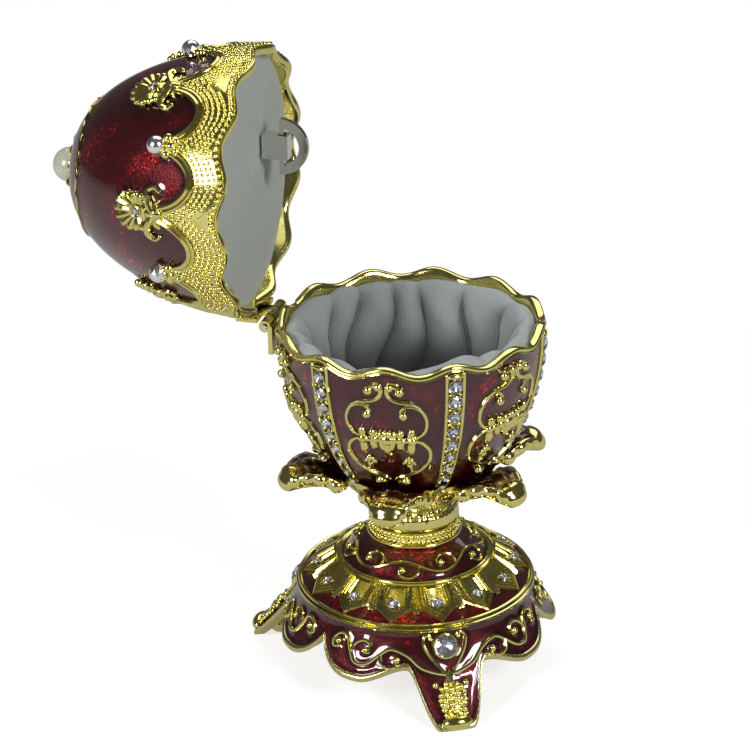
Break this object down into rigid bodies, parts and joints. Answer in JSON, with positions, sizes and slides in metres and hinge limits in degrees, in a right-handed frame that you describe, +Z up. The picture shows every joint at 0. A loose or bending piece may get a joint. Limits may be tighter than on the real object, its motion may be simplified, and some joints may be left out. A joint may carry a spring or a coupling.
{
  "type": "jewelled egg trinket box",
  "caption": "Enamelled egg-shaped trinket box with a hinged lid, jewelled ribs, pearl finial, leafy calyx and a three-footed stand.",
  "frame": {"origin": "on the floor, under the middle of the open box's outline", "axes": "+Z up, hinge axis along Y, the lid turned back towards -X, the clasp side of the cup towards +X"},
  "size_m": [0.0992, 0.0612, 0.1231],
  "materials": {
    "enamel": "translucent red enamel over bright textured metal",
    "gold": "polished yellow gold plating",
    "crystal": "faceted clear stone with a foiled back",
    "pearl": "imitation pearl lustre",
    "lining_cloth": "soft grey rib knit",
    "lining_felt": "flat grey flock",
    "steel": "bright plated steel"
  },
  "bodies": {
    "box": {"stand": "enamel", "calyx_stem": "gold", "cup": "enamel", "cup_lining": "lining_cloth", "hinge_leaf_cup": "gold", "hinge_pin": "steel", "foot_stone_1": "crystal", "foot_stone_2": "crystal", "foot_stone_3": "crystal", "plaque_stone_1": "crystal", "plaque_stone_2": "crystal", "plaque_stone_3": "crystal", "plaque_stone_4": "crystal", "plaque_stone_5": "crystal", "plaque_stone_6": "crystal", "plaque_stone_7": "crystal", "plaque_stone_8": "crystal", "plaque_stone_9": "crystal", "plaque_stone_10": "crystal", "plaque_stone_11": "crystal", "plaque_stone_12": "crystal", "plaque_stone_13": "crystal", "plaque_stone_14": "crystal"},
    "lid": {"lid": "enamel", "lid_lining": "lining_felt", "pearl": "pearl", "half_ring": "steel", "ring_tab": "steel", "hinge_leaf_lid": "gold", "lid_crystal_1": "crystal", "shell_stone_1": "crystal", "lid_crystal_2": "crystal", "shell_stone_2": "crystal", "lid_crystal_3": "crystal", "shell_stone_3": "crystal", "lid_crystal_4": "crystal", "shell_stone_4": "crystal", "lid_crystal_5": "crystal", "shell_stone_5": "crystal", "lid_crystal_6": "crystal", "shell_stone_6": "crystal"}
  },
  "joints": [
    {"name": "lid_hinge", "type": "hinge", "parent": "box", "child": "lid", "pos_m": [-0.00514, 0.0007, 0.0698], "axis": [0, 1, 0], "range_deg": [0, 88.7]}
  ]
}
